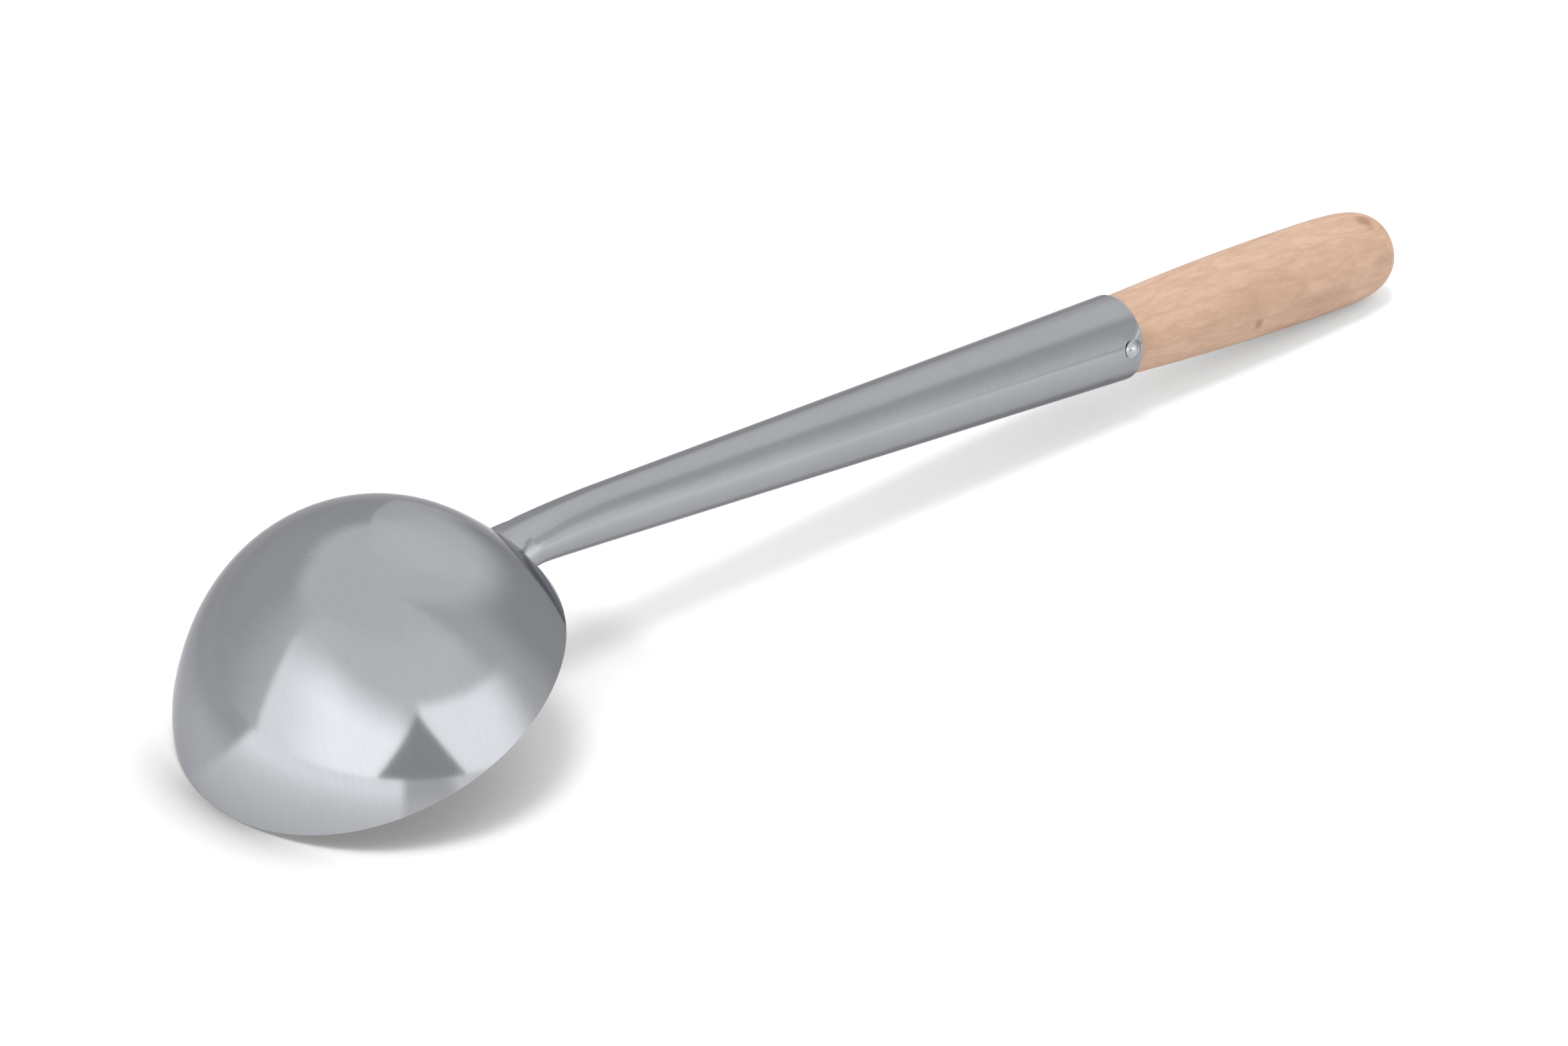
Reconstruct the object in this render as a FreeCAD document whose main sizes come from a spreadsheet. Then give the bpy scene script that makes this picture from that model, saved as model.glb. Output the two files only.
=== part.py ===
# Wok ladle. One sheet of steel is pressed into a bowl, and its tail is rolled into
# a conical tube. A turned wooden grip sits in the tube's mouth and a nail holds it.
# The ladle lies as it would on a table: the bowl opens downwards, and it rests on the
# far side of its rim and on the end of the grip. The handle runs towards +X.
import FreeCAD, Part
import math
import os
import Sketcher

os.makedirs("parts", exist_ok=True)

# Driving dimensions in millimetres and degrees. The ladle's own frame has its origin
# at the centre of the rim, the dome towards +Z and the handle towards +X. Stations
# along the handle are measured on its axis, from the point above the rim's radius.
SIZES = [
    ("sheet_gauge", 1.0, "thickness of the steel sheet"),
    ("rim_radius", 58.0, "outer radius of the bowl at its rim"),
    ("bowl_depth", 47.9, "rim to the top of the dome, outside"),
    ("crown_radius", 45.7, "radius of the bowl's crown in section"),
    ("crown_angle", 30.8, "slope where the crown turns into the flatter side"),
    ("wall_draw", 4.7, "how far the wall is drawn in beside the neck, at the rim"),
    ("draw_spread", 32.0, "how far round the bowl the drawn-in wall reaches"),
    ("handle_angle", 28.8, "slope of the handle away from the rim's plane"),
    ("handle_drop", 3.85, "depth of the handle's axis under the rim's plane, at the rim"),
    ("neck_radius", 7.73, "tube's outer radius at the rim, station 0"),
    ("mouth_radius", 13.25, "tube's outer radius at its mouth"),
    ("tube_length", 229.8, "station of the tube's mouth"),
    ("neck_root", 14.0, "length of the neck that is lost in the bowl"),
    ("neck_length", 30.0, "station where the neck becomes a round tube"),
    ("neck_flat", 5.0, "how far the neck's top is flattened at its root"),
    ("neck_spread", 1.5, "how far the neck's sides widen at its root"),
    ("skirt_radius", 12.0, "curl of the skirt that is trimmed away below the rim"),
    ("neck_bend", 2.6, "bend radius between the bowl and the neck"),
    ("throat_station", 3.0, "station where the tube's underside closes"),
    ("throat_angle", 84.0, "slope of the sheet's free edge under the neck"),
    ("throat_round", 2.0, "radius of the free edge where it leaves the rim"),
    ("seam_gap", 0.5, "gap of the rolled tube's seam, on its underside"),
    ("fit_gap", 0.15, "clearance of the wooden tenon in the tube"),
    ("tenon_length", 48.0, "length of the tenon inside the tube"),
    ("grip_swell", 2.5, "how much the grip's radius grows from the mouth to its belly"),
    ("belly_length", 79.5, "from the tube's mouth to the thickest place of the grip"),
    ("nose_length", 35.2, "from the belly to the grip's rounded end"),
    ("nose_fullness", 28.9, "pull of the belly on the end's curve, along the grip"),
    ("nose_bluntness", 13.9, "pull of the end on the same curve, across the grip"),
    ("nail_inset", 3.9, "from the tube's mouth to the nail's axis"),
    ("nail_turn", 11.0, "how far round the tube the nail sits, up from its near side"),
    ("head_radius", 3.0, "radius of the nail's head"),
    ("head_height", 1.5, "height of the nail's domed head"),
    ("shank_radius", 1.2, "radius of the nail's shank"),
    ("shank_length", 17.0, "length of the nail under its head"),
    ("point_length", 3.0, "length of the nail's point"),
    ("hole_gap", 0.1, "clearance round the nail's shank in the sheet"),
    ("pilot_gap", 0.05, "clearance round the nail's shank in the wood"),
]

# How finely the lofted forms are sampled.
SKIRT_SECTIONS = 4
SIDE_SECTIONS = 4
CROWN_SECTIONS = 4
BOWL_POINTS = 16
NECK_SECTIONS = 7
NECK_POINTS = 20
PROFILE_POINTS = 400

# Forms closer than this meet.
TOUCHING = 0.001

# The grip's end is one cubic curve. Its outline keeps the two inner poles as these items.
NOSE_DEGREE = 3
BELLY_POLE = 6
END_POLE = 7

# How the ladle's lie is searched: the steepest tilt in degrees, and the halvings.
STEEPEST_TILT = 60
HALVINGS = 50

# Formulas over the sheet that several pieces share.
RADIUS_AT = ("(sizes.neck_radius + (sizes.mouth_radius - sizes.neck_radius)"
             " * ({}) / sizes.tube_length)")
NAIL_STATION = "sizes.tube_length - sizes.nail_inset"

doc = FreeCAD.newDocument("wok_ladle")
sizes = doc.addObject("Spreadsheet::Sheet", "sizes")
for row, (alias, number, meaning) in enumerate(SIZES, start=1):
    sizes.set(f"A{row}", meaning)
    sizes.set(f"B{row}", str(number))
    sizes.setAlias(f"B{row}", alias)
doc.recompute()


def size(alias):
    """One driving dimension as a number."""
    return float(sizes.get(alias))


def origin_plane(body, role):
    """One of a body's own origin planes."""
    for feature in body.Origin.OriginFeatures:
        if feature.Role == role:
            return feature
    raise ValueError(role)


def new_sketch(body, name, role="XZ_Plane"):
    """An empty sketch on an origin plane of its body."""
    sketch = body.newObject("Sketcher::SketchObject", name)
    sketch.AttachmentSupport = [(origin_plane(body, role), "")]
    sketch.MapMode = "FlatFace"
    return sketch


def join(sketch, kind, *where):
    """A constraint without a value."""
    sketch.addConstraint(Sketcher.Constraint(kind, *where))


def tie(sketch, name, formula, kind, *where):
    """A named constraint whose value follows the sheet."""
    index = sketch.addConstraint(Sketcher.Constraint(kind, *where))
    sketch.renameConstraint(index, name)
    sketch.setExpression("Constraints." + name, formula)


def line(start, end):
    """A straight edge between two points of the sketch plane."""
    return Part.LineSegment(FreeCAD.Vector(*start, 0), FreeCAD.Vector(*end, 0))


def arc(centre, radius, start, end):
    """An arc about a centre, counterclockwise from one point to the other."""
    circle = Part.Circle(FreeCAD.Vector(*centre, 0), FreeCAD.Vector(0, 0, 1), radius)
    first = math.atan2(start[1] - centre[1], start[0] - centre[0])
    last = math.atan2(end[1] - centre[1], end[0] - centre[0])
    if last < first:
        last += 2 * math.pi
    return Part.ArcOfCircle(circle, first, last)


def revolve(body, name, sketch, axis):
    """A full turn of a sketch about one of its own axes."""
    turned = body.newObject("PartDesign::Revolution", name)
    turned.Profile = sketch
    turned.ReferenceAxis = (sketch, [axis])
    turned.Angle = 360.0
    return turned


def spread(first, last, count):
    """Evenly spaced values from the first up to, but without, the last."""
    return [first + (last - first) * step / count for step in range(count)]


def side_arc():
    """The side in section: its centre, its radius and its slope at the rim."""
    crown = size("crown_radius")
    slope = math.radians(size("crown_angle"))
    edge_x = crown * math.sin(slope)
    edge_z = size("bowl_depth") - crown * (1 - math.cos(slope))
    run = size("rim_radius") - edge_x
    chord = math.atan2(edge_z, run)
    radius = math.hypot(run, edge_z) / (2 * math.sin(chord - slope))
    centre = (edge_x - radius * math.sin(slope), edge_z - radius * math.cos(slope))
    return centre, radius, 2 * chord - slope


def bowl_profile(inset):
    """Radius and height of points from the curled hem under the rim up to the crown."""
    centre, side, rim_slope = side_arc()
    crown = size("crown_radius")
    crown_slope = math.radians(size("crown_angle"))
    skirt = size("skirt_radius")
    curl = (size("rim_radius") - skirt * math.sin(rim_slope), -skirt * math.cos(rim_slope))
    dome = (0.0, size("bowl_depth") - crown)
    crown_slopes = [crown_slope * share**2 for share in spread(1.0, 0.0, CROWN_SECTIONS)]
    arcs = [(curl, skirt, spread(math.pi, rim_slope, SKIRT_SECTIONS)),
            (centre, side, spread(rim_slope, crown_slope, SIDE_SECTIONS)),
            (dome, crown, crown_slopes)]
    points = []
    for hub, radius, slopes in arcs:
        for slope in slopes:
            x = hub[0] + (radius - inset) * math.sin(slope)
            points.append((x, hub[1] + (radius - inset) * math.cos(slope)))
    return points


def closed_curve(points):
    """A smooth closed wire through evenly numbered points."""
    outline = Part.BSplineCurve()
    steps = [step / len(points) for step in range(len(points) + 1)]
    outline.interpolate(Points=points, Parameters=steps, PeriodicFlag=True)
    return Part.Wire(outline.toShape())


def bowl_section(radius, height, inset):
    """A level section of the bowl: a circle that is drawn in beside the neck."""
    top = size("bowl_depth") - inset
    pull = size("wall_draw") * ((top - height) / top) ** 2
    points = []
    for turn in spread(math.pi, 3 * math.pi, BOWL_POINTS):
        away = math.degrees(math.remainder(turn, 2 * math.pi)) / size("draw_spread")
        reach = radius - pull * math.exp(-(away**2))
        points.append(FreeCAD.Vector(reach * math.cos(turn), reach * math.sin(turn), height))
    return closed_curve(points)


def bowl_form(name, inset):
    """The bowl as a loft of level sections, closed by a point at the top of the dome."""
    sections = [bowl_section(radius, height, inset) for radius, height in bowl_profile(inset)]
    sections.append(Part.Vertex(0.0, 0.0, size("bowl_depth") - inset))
    bowl = doc.addObject("Part::Feature", name)
    bowl.Shape = Part.makeLoft(sections, True, False)
    return bowl


def handle_point(station, side, up):
    """A point beside the handle's axis, in the ladle's own frame."""
    angle = math.radians(size("handle_angle"))
    x = size("rim_radius") + station * math.cos(angle) + up * math.sin(angle)
    z = -size("handle_drop") - station * math.sin(angle) + up * math.cos(angle)
    return FreeCAD.Vector(x, side, z)


def tube_radius(station):
    """Outer radius of the conical tube at a station."""
    growth = (size("mouth_radius") - size("neck_radius")) / size("tube_length")
    return size("neck_radius") + growth * station


def neck_section(station, inset):
    """A closed section of the neck: round below, flatter on top towards the bowl."""
    length = size("neck_length")
    share = ((length - station) / (length + size("neck_root"))) ** 2
    round_part = tube_radius(station) - inset
    wide = round_part + size("neck_spread") * share
    high = round_part - size("neck_flat") * share
    points = []
    for turn in spread(0.0, 2 * math.pi, NECK_POINTS):
        side = wide * math.sin(turn)
        up = -math.cos(turn)
        up *= high if up > 0 else round_part
        points.append(handle_point(station, side, up))
    return closed_curve(points)


def neck_form(name, inset):
    """The neck as a loft from inside the bowl to the round tube."""
    root = -size("neck_root")
    pitch = (size("neck_length") - root) / (NECK_SECTIONS - 1)
    wires = [neck_section(root + pitch * step, inset) for step in range(NECK_SECTIONS)]
    neck = doc.addObject("Part::Feature", name)
    neck.Shape = Part.makeLoft(wires, True, False)
    return neck


def handle_formula(station, up="0"):
    """The same place in the handle's middle plane, as two formulas over the sheet."""
    slope = "sizes.handle_angle * 1deg"
    x = f"sizes.rim_radius + ({station}) * cos({slope}) + ({up}) * sin({slope})"
    z = f"-sizes.handle_drop - ({station}) * sin({slope}) + ({up}) * cos({slope})"
    return x, z


def lay_along_handle(target, station, up, turn):
    """Puts an object on the handle, turned from the rim's plane by the handle's slope."""
    x, z = handle_formula(station, up)
    target.Placement.Rotation = FreeCAD.Rotation(FreeCAD.Vector(0, 1, 0), 1.0)
    target.setExpression("Placement.Base.x", x)
    target.setExpression("Placement.Base.z", z)
    target.setExpression("Placement.Rotation.Angle", f"(sizes.handle_angle + {turn}) * 1deg")


def tube_form(name, inset_formula, overrun):
    """The conical tube as a solid cone, with an overrun past its mouth."""
    tube = doc.addObject("Part::Cone", name)
    tube.setExpression("Radius1", f"{RADIUS_AT.format('sizes.neck_length')} - {inset_formula}")
    mouth = f"(sizes.tube_length + {overrun})"
    tube.setExpression("Radius2", f"{RADIUS_AT.format(mouth)} - {inset_formula}")
    tube.setExpression("Height", f"{mouth} - sizes.neck_length")
    lay_along_handle(tube, "sizes.neck_length", "0", 90)
    return tube


def boolean(kind, name, base, tool):
    """A boolean of two objects."""
    result = doc.addObject(kind, name)
    result.Base = base
    result.Tool = tool
    return result


def bend_edges(shape, bowl, neck):
    """Numbers of the edges where the neck meets the bowl: those that lie on both."""
    found = []
    for index, edge in enumerate(shape.Edges, start=1):
        middle = Part.Vertex(edge.valueAt((edge.FirstParameter + edge.LastParameter) / 2))
        gaps = [middle.distToShape(form.Shape.Shells[0])[0] for form in (bowl, neck)]
        if max(gaps) < TOUCHING:
            found.append(index)
    return found


def bent_form(name, bowl, neck, tube, bend):
    """Bowl, neck and tube as one solid, with the bend between bowl and neck rounded."""
    handle = boolean("Part::Fuse", name + "_handle", neck, tube)
    whole = boolean("Part::Fuse", name + "_whole", bowl, handle)
    doc.recompute()
    rounded = doc.addObject("Part::Fillet", name)
    rounded.Base = whole
    rounded.Edges = [(index, bend, bend) for index in bend_edges(whole.Shape, bowl, neck)]
    return rounded


def below_rim():
    """What is trimmed away: all below the rim, up to the free edge under the neck."""
    throat = "sizes.throat_station"
    throat_x, throat_z = handle_formula(throat, f"-({RADIUS_AT.format(throat)})")
    point = handle_point(size("throat_station"), 0, -tube_radius(size("throat_station")))
    slope = math.radians(size("throat_angle"))
    corner = point.x + point.z / math.tan(slope)
    bend = size("throat_round")
    run = bend * math.tan(slope / 2)
    left = -2 * size("rim_radius")
    deep = -2 * size("rim_radius")
    leave = (corner - run, 0.0)
    land = (corner + run * math.cos(slope), -run * math.sin(slope))
    foot = (corner - deep / math.tan(slope), deep)
    body = doc.addObject("PartDesign::Body", "below_rim")
    sketch = new_sketch(body, "free_edge")
    sketch.addGeometry(line((left, 0.0), leave))
    sketch.addGeometry(arc((leave[0], -bend), bend, land, leave))
    sketch.addGeometry(line(land, foot))
    sketch.addGeometry(line(foot, (left, deep)))
    sketch.addGeometry(line((left, deep), (left, 0.0)))
    sketch.addGeometry(Part.Point(FreeCAD.Vector(point.x, point.z, 0)), True)
    join(sketch, "Tangent", 0, 2, 1, 2)
    join(sketch, "Tangent", 1, 1, 2, 1)
    join(sketch, "Coincident", 2, 2, 3, 1)
    join(sketch, "Coincident", 3, 2, 4, 1)
    join(sketch, "Coincident", 4, 2, 0, 1)
    join(sketch, "PointOnObject", 0, 1, -1)
    join(sketch, "Horizontal", 0)
    join(sketch, "Horizontal", 3)
    join(sketch, "Vertical", 4)
    join(sketch, "PointOnObject", 5, 1, 2)
    tie(sketch, "edge_bend", "sizes.throat_round", "Radius", 1, bend)
    tie(sketch, "throat_x", throat_x, "DistanceX", -1, 1, 5, 1, point.x)
    tie(sketch, "throat_z", f"-({throat_z})", "DistanceY", 5, 1, -1, 1, -point.z)
    tie(sketch, "slope", "(180 - sizes.throat_angle) * 1deg", "Angle", 0, 2, 2, 1, math.pi - slope)
    tie(sketch, "left", "2 * sizes.rim_radius", "DistanceX", 0, 1, -1, 1, -left)
    tie(sketch, "deep", "2 * sizes.rim_radius", "DistanceY", 3, 1, -1, 1, -deep)
    pad = body.newObject("PartDesign::Pad", "below_rim_pad")
    pad.Profile = sketch
    pad.SideType = "Symmetric"
    pad.setExpression("Length", "4 * sizes.rim_radius")
    return body


def seam_slit():
    """The gap where the rolled sheet's two edges meet, under the tube."""
    slit = doc.addObject("Part::Box", "seam_slit")
    slit.setExpression("Length", "sizes.tube_length")
    slit.setExpression("Width", "sizes.seam_gap")
    slit.setExpression("Height", "2 * sizes.mouth_radius")
    lay_along_handle(slit, "0", "-2 * sizes.mouth_radius", 0)
    slit.setExpression("Placement.Base.y", "-sizes.seam_gap / 2")
    return slit


def nail_placement():
    """A turn about the handle's axis, from the tube's near side up to the nail."""
    start = handle_point(0, 0, 0)
    turn = FreeCAD.Rotation(start - handle_point(1, 0, 0), size("nail_turn"))
    return FreeCAD.Placement(FreeCAD.Vector(), turn, start)


def nail_hole():
    """The hole for the nail in the tube's near side."""
    hole = doc.addObject("Part::Cylinder", "nail_hole")
    x, z = handle_formula(NAIL_STATION)
    hole.setExpression("Radius", "sizes.shank_radius + sizes.hole_gap")
    hole.setExpression("Height", "2 * sizes.mouth_radius")
    hole.Placement.Rotation = nail_placement().Rotation * FreeCAD.Rotation(FreeCAD.Vector(1, 0, 0), 90)
    hole.setExpression("Placement.Base.x", x)
    hole.setExpression("Placement.Base.z", z)
    return hole


def steel_body():
    """The sheet: its outer form less its inner form, trimmed, slit and pierced."""
    gauge = size("sheet_gauge")
    bend = size("neck_bend")
    outer_bowl = bowl_form("outer_bowl", 0.0)
    inner_bowl = bowl_form("inner_bowl", gauge)
    outer_neck = neck_form("outer_neck", 0.0)
    inner_neck = neck_form("inner_neck", gauge)
    outer_tube = tube_form("outer_tube", "0", "0")
    inner_tube = tube_form("inner_tube", "sizes.sheet_gauge", "1")
    outer = bent_form("outer_form", outer_bowl, outer_neck, outer_tube, bend)
    inner = bent_form("inner_form", inner_bowl, inner_neck, inner_tube, bend + gauge)
    sheet = boolean("Part::Cut", "sheet", outer, inner)
    trimmed = boolean("Part::Cut", "trimmed_sheet", sheet, below_rim())
    rolled = boolean("Part::Cut", "rolled_sheet", trimmed, seam_slit())
    return boolean("Part::Cut", "pierced_sheet", rolled, nail_hole())


def grip_arcs():
    """Key points of the grip's outline, seen from its side with the axis along X."""
    mouth = size("tube_length")
    root = mouth - size("tenon_length")
    root_radius = tube_radius(root) - size("sheet_gauge") - size("fit_gap")
    mouth_radius = size("mouth_radius") - size("sheet_gauge") - size("fit_gap")
    belly = mouth + size("belly_length")
    belly_radius = mouth_radius + size("grip_swell")
    return (root, root_radius), (mouth, mouth_radius), (belly, belly_radius)


def sagitta_radius(run, drop):
    """Radius of an arc that falls by a drop over a run from its highest point."""
    return (run**2 + drop**2) / (2 * drop)


def wood_grip():
    """The turned grip: a tapered tenon, a swelling body and a rounded end."""
    root, mouth, belly = grip_arcs()
    front = sagitta_radius(size("belly_length"), size("grip_swell"))
    end = belly[0] + size("nose_length")
    poles = [(belly[0], -belly[1]), (belly[0] + size("nose_fullness"), -belly[1]),
             (end, -size("nose_bluntness")), (end, 0.0)]
    nose = Part.BSplineCurve()
    nose.buildFromPolesMultsKnots([FreeCAD.Vector(*pole, 0) for pole in poles],
                                  [NOSE_DEGREE + 1] * 2, [0, 1], False, NOSE_DEGREE)
    body = doc.addObject("PartDesign::Body", "wood_grip")
    sketch = new_sketch(body, "grip_outline")
    x, z = handle_formula("0")
    sketch.AttachmentOffset = FreeCAD.Placement(
        FreeCAD.Vector(), FreeCAD.Rotation(FreeCAD.Vector(0, 0, 1), -1.0))
    sketch.setExpression("AttachmentOffset.Base.x", x)
    sketch.setExpression("AttachmentOffset.Base.y", z)
    sketch.setExpression("AttachmentOffset.Rotation.Angle", "-sizes.handle_angle * 1deg")
    sketch.addGeometry(line((root[0], 0.0), (root[0], -root[1])))
    sketch.addGeometry(line((root[0], -root[1]), (mouth[0], -mouth[1])))
    sketch.addGeometry(arc((belly[0], front - belly[1]), front, (mouth[0], -mouth[1]), (belly[0], -belly[1])))
    sketch.addGeometry(line((end, 0.0), (root[0], 0.0)))
    sketch.exposeInternalGeometry(sketch.addGeometry(nose))
    join(sketch, "Coincident", 0, 2, 1, 1)
    join(sketch, "Coincident", 1, 2, 2, 1)
    join(sketch, "Coincident", 2, 2, 4, 1)
    join(sketch, "Coincident", 4, 2, 3, 1)
    join(sketch, "Coincident", 3, 2, 0, 1)
    join(sketch, "PointOnObject", 0, 1, -1)
    join(sketch, "Horizontal", 3)
    join(sketch, "Vertical", 0)
    join(sketch, "Vertical", 2, 2, 2, 3)
    join(sketch, "Horizontal", BELLY_POLE, 3, 2, 2)
    join(sketch, "Vertical", END_POLE, 3, 3, 1)
    inside = "- sizes.sheet_gauge - sizes.fit_gap"
    root_at = "sizes.tube_length - sizes.tenon_length"
    tie(sketch, "root", root_at, "DistanceX", -1, 1, 0, 1, root[0])
    tie(sketch, "root_radius", RADIUS_AT.format(root_at) + inside, "DistanceY", 0, 2, 0, 1, root[1])
    tie(sketch, "mouth", "sizes.tube_length", "DistanceX", -1, 1, 1, 2, mouth[0])
    tie(sketch, "mouth_radius", "sizes.mouth_radius " + inside, "DistanceY", 1, 2, 0, 1, mouth[1])
    tie(sketch, "belly", "sizes.belly_length", "DistanceX", 1, 2, 2, 2, size("belly_length"))
    tie(sketch, "swell", "sizes.grip_swell", "DistanceY", 2, 2, 1, 2, size("grip_swell"))
    tie(sketch, "nose", "sizes.nose_length", "DistanceX", 2, 2, 3, 1, size("nose_length"))
    fullness = size("nose_fullness")
    tie(sketch, "fullness", "sizes.nose_fullness", "DistanceX", 2, 2, BELLY_POLE, 3, fullness)
    bluntness = size("nose_bluntness")
    tie(sketch, "bluntness", "sizes.nose_bluntness", "DistanceY", END_POLE, 3, 3, 1, bluntness)
    revolve(body, "grip_turn", sketch, "H_Axis")
    doc.recompute()
    pilot = new_sketch(body, "pilot_circle")
    x, z = handle_formula(NAIL_STATION)
    pilot.setExpression("AttachmentOffset.Base.x", x)
    pilot.setExpression("AttachmentOffset.Base.y", z)
    pilot.setExpression("AttachmentOffset.Base.z", "sizes.mouth_radius")
    circle = Part.Circle(FreeCAD.Vector(), FreeCAD.Vector(0, 0, 1), size("shank_radius"))
    pilot.addGeometry(circle)
    join(pilot, "Coincident", 0, 3, -1, 1)
    tie(pilot, "pilot", "sizes.shank_radius + sizes.pilot_gap", "Radius", 0, size("shank_radius"))
    bore = body.newObject("PartDesign::Pocket", "pilot_hole")
    bore.Profile = pilot
    bore.setExpression("Length", "sizes.shank_length + sizes.pilot_gap")
    return body


def grip_nail():
    """The nail: a domed head that bears on the tube, a round shank and a point."""
    head = size("head_radius")
    height = size("head_height")
    shank = size("shank_radius")
    length = size("shank_length")
    dome = sagitta_radius(head, height)
    waist = length - size("point_length")
    body = doc.addObject("PartDesign::Body", "grip_nail")
    sketch = new_sketch(body, "nail_outline", "XY_Plane")
    x, z = handle_formula(NAIL_STATION)
    seat = RADIUS_AT.format(NAIL_STATION + " + sizes.head_radius")
    sketch.setExpression("AttachmentOffset.Base.x", x)
    sketch.setExpression("AttachmentOffset.Base.y", "-" + seat)
    sketch.setExpression("AttachmentOffset.Base.z", z)
    outline = [arc((0.0, dome - height), dome, (0.0, -height), (head, 0.0)),
               line((head, 0.0), (shank, 0.0)),
               line((shank, 0.0), (shank, waist)),
               line((shank, waist), (0.0, length)),
               line((0.0, length), (0.0, -height))]
    for edge in outline:
        sketch.addGeometry(edge)
    for edge in range(len(outline)):
        join(sketch, "Coincident", edge, 2, (edge + 1) % len(outline), 1)
    join(sketch, "PointOnObject", 0, 1, -2)
    join(sketch, "PointOnObject", 0, 3, -2)
    join(sketch, "PointOnObject", 0, 2, -1)
    join(sketch, "Horizontal", 1)
    join(sketch, "Vertical", 2)
    join(sketch, "Vertical", 4)
    tie(sketch, "head", "sizes.head_radius", "DistanceX", -1, 1, 0, 2, head)
    tie(sketch, "height", "sizes.head_height", "DistanceY", 0, 1, -1, 1, height)
    tie(sketch, "shank", "sizes.shank_radius", "DistanceX", -1, 1, 1, 2, shank)
    tie(sketch, "length", "sizes.shank_length", "DistanceY", -1, 1, 3, 2, length)
    tie(sketch, "point", "sizes.point_length", "DistanceY", 2, 2, 3, 2, size("point_length"))
    revolve(body, "nail_turn", sketch, "V_Axis")
    return body


def outline_points(sketch_name):
    """Points along a profile in the ladle's own middle plane."""
    found = []
    for edge in doc.getObject(sketch_name).Shape.Edges:
        found += edge.discretize(PROFILE_POINTS)
    return found


def stand_placement():
    """How the ladle lies: rim and grip both on the floor, box centred on the origin."""
    axis_start = handle_point(0, 0, 0)
    axis = handle_point(1, 0, 0) - axis_start
    centre, side, rim_slope = side_arc()
    slopes = spread(rim_slope, math.radians(size("crown_angle")), PROFILE_POINTS)
    bowl = [FreeCAD.Vector(-centre[0] - side * math.sin(slope), 0, centre[1] + side * math.cos(slope))
            for slope in slopes]
    grip = outline_points("grip_outline")
    for point in list(grip):
        foot = axis_start + axis * axis.dot(point - axis_start)
        grip.append(foot * 2 - point)

    def height(point, tilt):
        return point.x * math.sin(tilt) + point.z * math.cos(tilt)

    def run(point, tilt):
        return point.x * math.cos(tilt) - point.z * math.sin(tilt)

    low, high = 0.0, math.radians(STEEPEST_TILT)
    for _ in range(HALVINGS):
        tilt = (low + high) / 2
        if min(height(p, tilt) for p in grip) < min(height(p, tilt) for p in bowl):
            low = tilt
        else:
            high = tilt
    floor = min(height(p, tilt) for p in bowl)
    middle = (min(run(p, tilt) for p in bowl) + max(run(p, tilt) for p in grip)) / 2
    turn = FreeCAD.Rotation(FreeCAD.Vector(0, 1, 0), -math.degrees(tilt))
    print("tilt", round(math.degrees(tilt), 3), "floor", round(floor, 3), "middle", round(middle, 3))
    return FreeCAD.Placement(FreeCAD.Vector(-middle, 0, -floor), turn)


def check_objects():
    """Stops if any object failed or any shape is empty or invalid."""
    for item in doc.Objects:
        if "Invalid" in item.State or "Error" in item.State:
            raise ValueError(item.Name + " failed")


pieces = {"ladle_body": steel_body(), "wood_grip": wood_grip(), "grip_nail": grip_nail()}
doc.recompute()
stand = stand_placement()
turns = {"ladle_body": FreeCAD.Placement(), "wood_grip": nail_placement(), "grip_nail": nail_placement()}
for name, piece in pieces.items():
    piece.Label = name
    piece.Placement = stand * turns[name]
doc.recompute()
check_objects()
for name, piece in pieces.items():
    if piece.Shape.isNull() or not piece.Shape.isValid():
        raise ValueError(name + " has no valid shape")
    print(name, len(piece.Shape.Solids), round(piece.Shape.Volume, 1), piece.Shape.optimalBoundingBox())
for name, piece in pieces.items():
    piece.Shape.exportStep(f"parts/{name}.step")
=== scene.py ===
import math

import bmesh
import bpy
import numpy as np
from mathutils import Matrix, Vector


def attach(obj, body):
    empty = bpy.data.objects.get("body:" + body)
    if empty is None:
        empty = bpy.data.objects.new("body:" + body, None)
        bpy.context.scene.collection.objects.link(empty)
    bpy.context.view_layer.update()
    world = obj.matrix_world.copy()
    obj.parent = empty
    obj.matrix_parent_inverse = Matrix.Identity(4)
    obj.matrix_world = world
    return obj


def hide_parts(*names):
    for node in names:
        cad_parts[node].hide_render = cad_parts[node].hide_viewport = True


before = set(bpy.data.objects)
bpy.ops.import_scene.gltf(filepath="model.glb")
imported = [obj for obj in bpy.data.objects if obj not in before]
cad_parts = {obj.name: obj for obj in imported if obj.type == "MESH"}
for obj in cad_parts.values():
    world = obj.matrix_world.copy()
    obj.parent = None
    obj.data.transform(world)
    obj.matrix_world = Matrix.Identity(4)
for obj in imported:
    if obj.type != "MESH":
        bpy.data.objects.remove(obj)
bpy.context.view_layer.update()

MM = 0.001

# Camera: where the photo was taken from, in metres and degrees. The azimuth is turned left from -Y.
CAMERA_AZIMUTH = -41.334
CAMERA_ELEVATION = 30.55
CAMERA_DISTANCE = 1.93333
CAMERA_TARGET = Vector((-0.027265, 0.0, 0.029))
CAMERA_LENS = 154.42
CAMERA_SENSOR = 36.0
CAMERA_SHIFT = (0.0122, -0.03061)

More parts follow.
